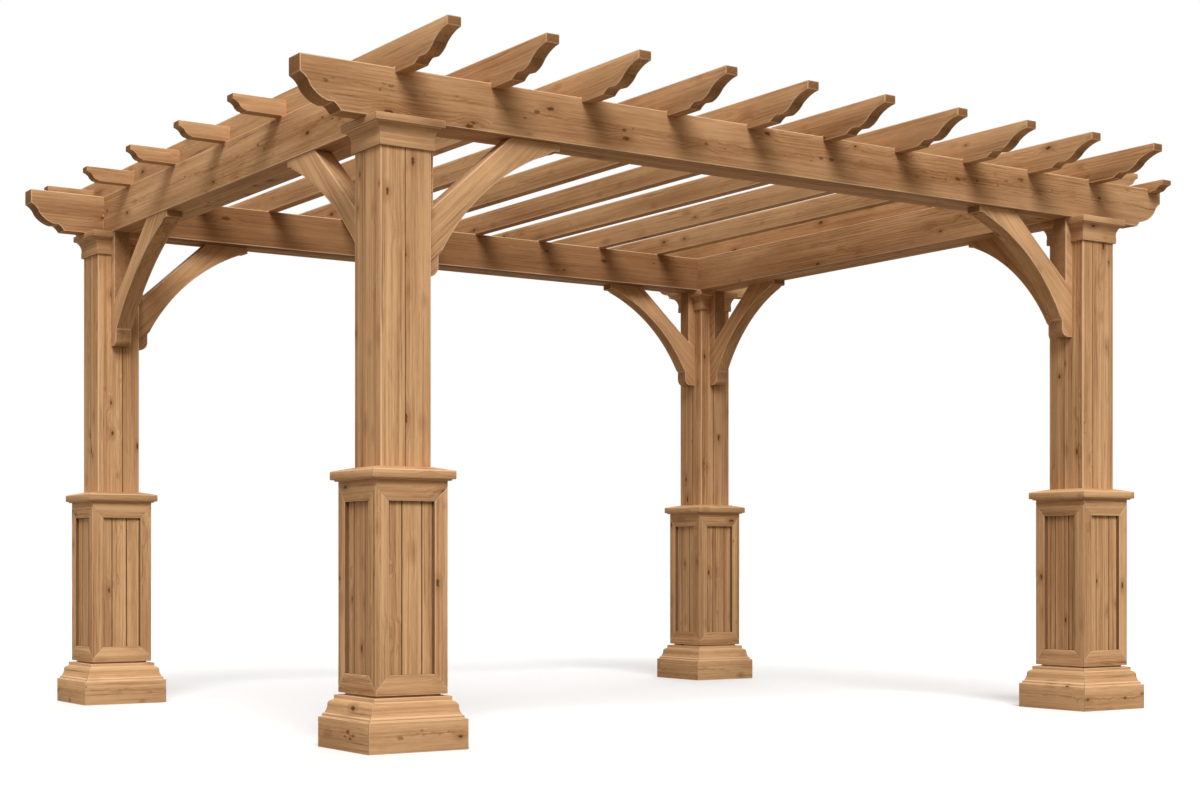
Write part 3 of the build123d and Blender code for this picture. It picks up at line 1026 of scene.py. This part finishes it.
class PERGOLA_OT_caps(bpy.types.Operator):
    """Builds the four hipped pedestal caps"""
    bl_idname = "pergola.caps"
    bl_label = "Pedestal caps"

    def execute(self, context):
        timber = Timber(31)
        for turn in range(4):
            mitred_side(timber, cap_profile(), MOULDING_BACK, turn, context.scene.pergola_sizes)
        on_four_corners(timber, "pedestal_caps", "moulded_timber", 103, "pedestal_cap")
        return {"FINISHED"}


class PERGOLA_OT_shafts(bpy.types.Operator):
    """Builds the four boarded column shafts"""
    bl_idname = "pergola.shafts"
    bl_label = "Column shafts"

    def execute(self, context):
        sizes = context.scene.pergola_sizes
        timber = Timber(43)
        grooved_column(timber, size.shaft_half, SHAFT_SEAMS, sizes.seam_width, sizes.seam_depth,
                       size.cap_top, size.beam_bottom, sizes.arris)
        on_four_corners(timber, "column_shafts", "column_boards", 104, "column_shaft")
        return {"FINISHED"}


class PERGOLA_OT_capitals(bpy.types.Operator):
    """Builds the four moulded capitals, open on two sides for the brace legs"""
    bl_idname = "pergola.capitals"
    bl_label = "Column capitals"

    def execute(self, context):
        sizes = context.scene.pergola_sizes
        timber = Timber(57)
        # depth paints shade into the capitals, darkening them as if in the shadow of the beams.
        slack, depth = 0.0005, 0.20
        leg = sizes.brace_thickness / 2 + slack
        whole, split = ((None, None),), ((None, -leg), (leg, None))
        for turn, spans in enumerate((whole, split, split, whole)):
            for ends in spans:
                mitred_side(timber, capital_profile(), size.shaft_half, turn, sizes, ends,
                            depth=depth)
        on_four_corners(timber, "column_capitals", "moulded_timber", 105, "column_capital")
        return {"FINISHED"}


class PERGOLA_OT_braces(bpy.types.Operator):
    """Builds the eight curved knee braces"""
    bl_idname = "pergola.braces"
    bl_label = "Knee braces"

    def execute(self, context):
        sizes = context.scene.pergola_sizes
        across, back = (1.0, 0.0, 0.0), (0.0, 1.0, 0.0)
        short = size.brace[1].x - size.left
        long = size.long_brace[1].y - size.front
        # Label, stem of the node names, tip, shape, turn, axis, first corner, count.
        kinds = (
            ("beam", "beam_brace", short, SHORT_BRACE, 0, across, 0, 4),
            ("right_side", "side_brace", short, SHORT_BRACE, 1, back, 1, 2),
            ("left_side", "side_brace", long, LONG_BRACE, 1, back, 3, 2),
        )
        for seed, (label, stem, tip, shape, turn, axis, first, count) in enumerate(kinds):
            timber = Timber(61 + seed)
            member(timber, brace_outline(tip, shape), sizes.brace_thickness, sizes.arris,
                   quarter(turn), along=BRACE_GRAIN)
            piece = timber.piece(f"{label}_knee_braces", "brace_timber")
            to_corners(piece, timber_material("brace_timber"), 161 + seed, axis, first, count)
            nodes = [f"{stem}_{(CORNERS * 2)[first + index]}" for index in range(count)]
            settle(piece, "brace_timber", *nodes)
        return {"FINISHED"}


class PERGOLA_OT_beams(bpy.types.Operator):
    """Builds the front, back and side beams and their inner plies"""
    bl_idname = "pergola.beams"
    bl_label = "Beams"

    def execute(self, context):
        arris = context.scene.pergola_sizes.arris
        height = size.beam_top - size.beam_bottom
        # The fourth number is painted shade: the back beam, under the roof, is darkened more than
        # the front.
        self.long_beam("front", size.front_beam, 71, 0.09, (), arris)
        low = size.back_beam[0]
        half_width = (size.left_beam[1].x - size.left_beam[0].x) / 2
        places = (size.left - low.x, size.right - low.x)
        notches = [(p - half_width, p + half_width, height / 2) for p in places]
        self.long_beam("back", size.back_beam, 73, 0.26, notches, arris)
        self.side_beam("left", size.left_beam, 79, height, arris)
        self.side_beam("right", size.right_beam, 83, height, arris)
        self.inner_plies(arris)
        return {"FINISHED"}

    def long_beam(self, label, box, seed, depth, notches, arris):
        low, high = box
        timber, heart = Timber(seed), 0.102
        member(timber, member_outline(high.x - low.x, BEAM_TAIL, notches=notches),
               high.y - low.y, arris, moved(low.x, (low.y + high.y) / 2, size.beam_bottom),
               heart=heart, depth=depth)
        single(timber, f"{label}_timber_beam", "beam_timber", f"{label}_beam")

    def side_beam(self, label, box, seed, height, arris):
        low, high = box
        timber, heart = Timber(seed), 0.108
        start, stop = high.y - size.back_beam[1].y, high.y - size.back_beam[0].y
        outline = member_outline(high.y - low.y, BEAM_TAIL, both_ends=False)
        outline += [(stop, height), (stop, height / 2), (start, height / 2), (start, height)]
        member(timber, outline, high.x - low.x, arris,
               moved((low.x + high.x) / 2, high.y, size.beam_bottom, -1), heart=heart)
        single(timber, f"{label}_timber_beam", "beam_timber", f"{label}_side_beam")

    def inner_plies(self, arris):
        timber = Timber(89)
        slack = Vector.Fill(3, 0.0003)
        # Painted shade for each ply: the back one, deep under the roof, is darkened most.
        painted_shades = {"front": 0.12, "back": 0.80, "left": 0.05, "right": 0.08}
        for end, (low, high) in size.inner.items():
            low, high = low + slack, high - slack
            corners = [Vector((low.x, low.y, 0)), Vector((high.x, low.y, 0)),
                       Vector((high.x, high.y, 0)), Vector((low.x, high.y, 0))]
            along = (1, 0, 0) if end in ("front", "back") else (0, 1, 0)
            timber.board(raised(corners, low.z), raised(corners, high.z), along, arris,
                         depth=painted_shades[end])
        nodes = [f"{end}_inner_beam" for end in BEAMS]
        single(timber, "inner_beam_plies", "beam_timber", *nodes)


class PERGOLA_OT_rafters(bpy.types.Operator):
    """Builds the row of rafters and the two end rafters"""
    bl_idname = "pergola.rafters"
    bl_label = "Rafters"

    def execute(self, context):
        sizes = context.scene.pergola_sizes
        low, high = size.rafter
        length, thickness = high.y - low.y, high.x - low.x
        notch, slack = size.beam_top - low.z, 0.0015
        start = size.front_beam[0].y - low.y - slack
        stop = size.back_beam[1].y - low.y + slack
        timber = Timber(91)
        outline = member_outline(length, RAFTER_TAIL, notches=[(start, stop, notch)])
        member(timber, outline, thickness, sizes.arris,
               moved((low.x + high.x) / 2, low.y, low.z, 1))
        in_a_row(timber, "rafter_row", RAFTERS - 2, (sizes.rafter_spacing, 0.0, 0.0), 107,
                 *[f"rafter_{n}" for n in range(2, RAFTERS)])
        timber = Timber(97)
        tail = tail_outline(RAFTER_TAIL)
        outline = tail + [(start, 0.0), (start, notch)]
        outline += [(length - x, z) for x, z in reversed(tail) if z >= notch]
        member(timber, outline, thickness, sizes.arris, moved(size.left, low.y, low.z, 1))
        in_a_row(timber, "end_rafters", 2, (size.right - size.left, 0.0, 0.0), 108,
                 "rafter_1", f"rafter_{RAFTERS}")
        return {"FINISHED"}


class PERGOLA_OT_tails(bpy.types.Operator):
    """Builds the short shaped tails at the two sides and the pair at the front right"""
    bl_idname = "pergola.tails"
    bl_label = "Side tails"

    def execute(self, context):
        sizes = context.scene.pergola_sizes
        left_edge, right_edge = size.left_tails[0].x, size.right_tails[1].x
        self.row("left", size.left_tails, left_edge, 0, 109, sizes)
        self.row("right", size.right_tails, right_edge, 2, 113, sizes)
        self.end_pair(sizes.arris, sizes.tail_thickness, sizes.end_tail_reach)
        return {"FINISHED"}

    def row(self, label, box, edge, turns, seed, sizes):
        low, high = box
        thickness = sizes.tail_thickness
        timber = Timber(seed)
        member(timber, member_outline(high.x - low.x, SIDE_TAIL, both_ends=False), thickness,
               sizes.arris, moved(edge, low.y + thickness / 2, low.z, turns))
        in_a_row(timber, f"{label}_tail_row", SIDE_TAILS, (0.0, sizes.tail_spacing, 0.0), seed,
                 f"{label}_side_tails")

    def end_pair(self, arris, thickness, reach):
        low, high = size.end_tails
        front, back = size.front_beam[0].y, size.front_beam[1].y
        timber = Timber(127)
        member(timber, member_outline(reach - thickness / 2, SIDE_TAIL, both_ends=False),
               thickness, arris, moved(size.right + reach, front + thickness / 2, size.beam_top, 2))
        notches = [(front - low.y, back - low.y, size.beam_top - low.z)]
        member(timber, member_outline(high.y - low.y, END_TAIL, notches=notches),
               thickness, arris, moved(high.x - thickness / 2, low.y, low.z, 1))
        single(timber, "end_tail_pair", "rafter_timber", "front_right_end_tails")


class PERGOLA_OT_screws(bpy.types.Operator):
    """Places the countersunk screws of the brace feet"""
    bl_idname = "pergola.screws"
    bl_label = "Screws"

    def execute(self, context):
        rise = 0.066
        toe = Vector((size.shaft_half + BRACE_TOE, 0.0, size.brace[0].z + rise))
        points, facing = [
            [quarter(turn) @ vector for turn in (0, 1)] for vector in (toe, Vector((1, 0, 0)))
        ]
        data = bpy.data.meshes.new("screw_heads")
        data.from_pydata(points, [], [])
        layer = data.attributes.new("facing", "FLOAT_VECTOR", "POINT")
        layer.data.foreach_set("vector", [part for normal in facing for part in normal])
        data.attributes.new("grain", "FLOAT_VECTOR", "POINT")
        piece = linked("screw_heads", data)
        apply_group(piece, "Screw heads", heads_group, {
            "Diameter": context.scene.pergola_sizes.screw_diameter, "Steel": screw_material(),
        })
        to_corners(piece, screw_material(), 1)
        settle(piece, "brace_timber")
        return {"FINISHED"}


class PERGOLA_OT_stage(bpy.types.Operator):
    """Makes the floor, the lamps, the sky and the camera"""
    bl_idname = "pergola.stage"
    bl_label = "Floor, light and camera"

    def execute(self, context):
        settings = context.scene.pergola_stage
        self.floor(settings)
        self.sky(context.scene, settings)
        for kind in ("sun", "fill", "back"):
            parts = [kind + part for part in ("", "_angle", "_azimuth", "_height")]
            self.lamp(f"{kind.title()} lamp", *[getattr(settings, part) for part in parts])
        self.camera(context.scene)
        context.scene.view_settings.view_transform = "Standard"
        return {"FINISHED"}

    def floor(self, settings):
        half = settings.floor_size / 2
        data = bpy.data.meshes.new("floor")
        corners = [(-half, -half, 0), (half, -half, 0), (half, half, 0), (-half, half, 0)]
        data.from_pydata(corners, [], [(0, 1, 2, 3)])
        made, g, shader = blank_material("Pale floor")
        seen = g.seen()
        dull, pale = opaque(settings.floor_bounce), opaque(settings.floor)
        g.join(g.blend(seen, dull, pale), shader["Base Color"])
        g.join(WHITE, shader["Emission Color"])
        g.join(g.times(seen, settings.floor_glow), shader["Emission Strength"])
        g.join(0.9, shader["Roughness"])
        g.join(0.0, shader["Specular IOR Level"])
        data.materials.append(made)
        plane = linked("floor", data)

    def sky(self, scene, settings):
        world = bpy.data.worlds.new("Sky")
        scene.world = world
        world.use_nodes = True
        g = Graph(world.node_tree)
        g.tree.nodes.clear()
        light, white = [
            g.first("ShaderNodeBackground", {"Color": tint, "Strength": strength})
            for tint, strength in ((opaque(settings.sky_colour), settings.sky), (WHITE, 1.0))
        ]
        mix = g.first("ShaderNodeMixShader", {0: g.seen(), 1: light, 2: white})
        g.node("ShaderNodeOutputWorld", {"Surface": mix})

    def lamp(self, name, energy, softness, turn, rise):
        lamp = bpy.data.lights.new(name, "SUN")
        lamp.energy = energy
        lamp.angle = softness
        away = Vector((math.sin(turn) * math.cos(rise), -math.cos(turn) * math.cos(rise),
                       math.sin(rise)))
        made = linked(name, lamp)
        made.rotation_euler = (-away).to_track_quat("-Z", "Y").to_euler()
        made.location = away * 10

    def camera(self, scene):
        data = bpy.data.cameras.new("Camera")
        data.sensor_width = 36.0
        data.lens = 58.28
        data.shift_y = 0.1382
        data.clip_end = 400.0
        made = linked("Camera", data)
        made.location = (-5.552, -8.312, 0.711)
        made.rotation_euler = (math.radians(90), 0.0, math.radians(-33.98))
        scene.camera = made


OPERATORS = (
    PERGOLA_OT_stage, PERGOLA_OT_bases, PERGOLA_OT_pedestals, PERGOLA_OT_caps,
    PERGOLA_OT_shafts, PERGOLA_OT_capitals, PERGOLA_OT_braces, PERGOLA_OT_beams,
    PERGOLA_OT_rafters, PERGOLA_OT_tails, PERGOLA_OT_screws,
)


class PERGOLA_PT_sidebar(bpy.types.Panel):
    """Lists the sizes, the colours and the pieces of the pergola"""
    bl_idname = "PERGOLA_PT_sidebar"
    bl_label = "Pergola"
    bl_space_type = "VIEW_3D"
    bl_region_type = "UI"
    bl_category = "Pergola"

    def draw(self, context):
        for group in SETTINGS:
            settings = getattr(context.scene, group)
            box = self.layout.box()
            for name in settings.__annotations__:
                box.prop(settings, name)
        for operator in OPERATORS:
            self.layout.operator(operator.bl_idname)


CLASSES = tuple(SETTINGS.values()) + OPERATORS + (PERGOLA_PT_sidebar,)


def register():
    for item in CLASSES:
        bpy.utils.register_class(item)
    for name, group in SETTINGS.items():
        setattr(bpy.types.Scene, name, bpy.props.PointerProperty(type=group))


def unregister():
    for name in SETTINGS:
        delattr(bpy.types.Scene, name)
    for item in reversed(CLASSES):
        bpy.utils.unregister_class(item)


def main():
    register()
    for operator in OPERATORS:
        group, name = operator.bl_idname.split(".")
        getattr(getattr(bpy.ops, group), name)()


if __name__ == "__main__":
    main()
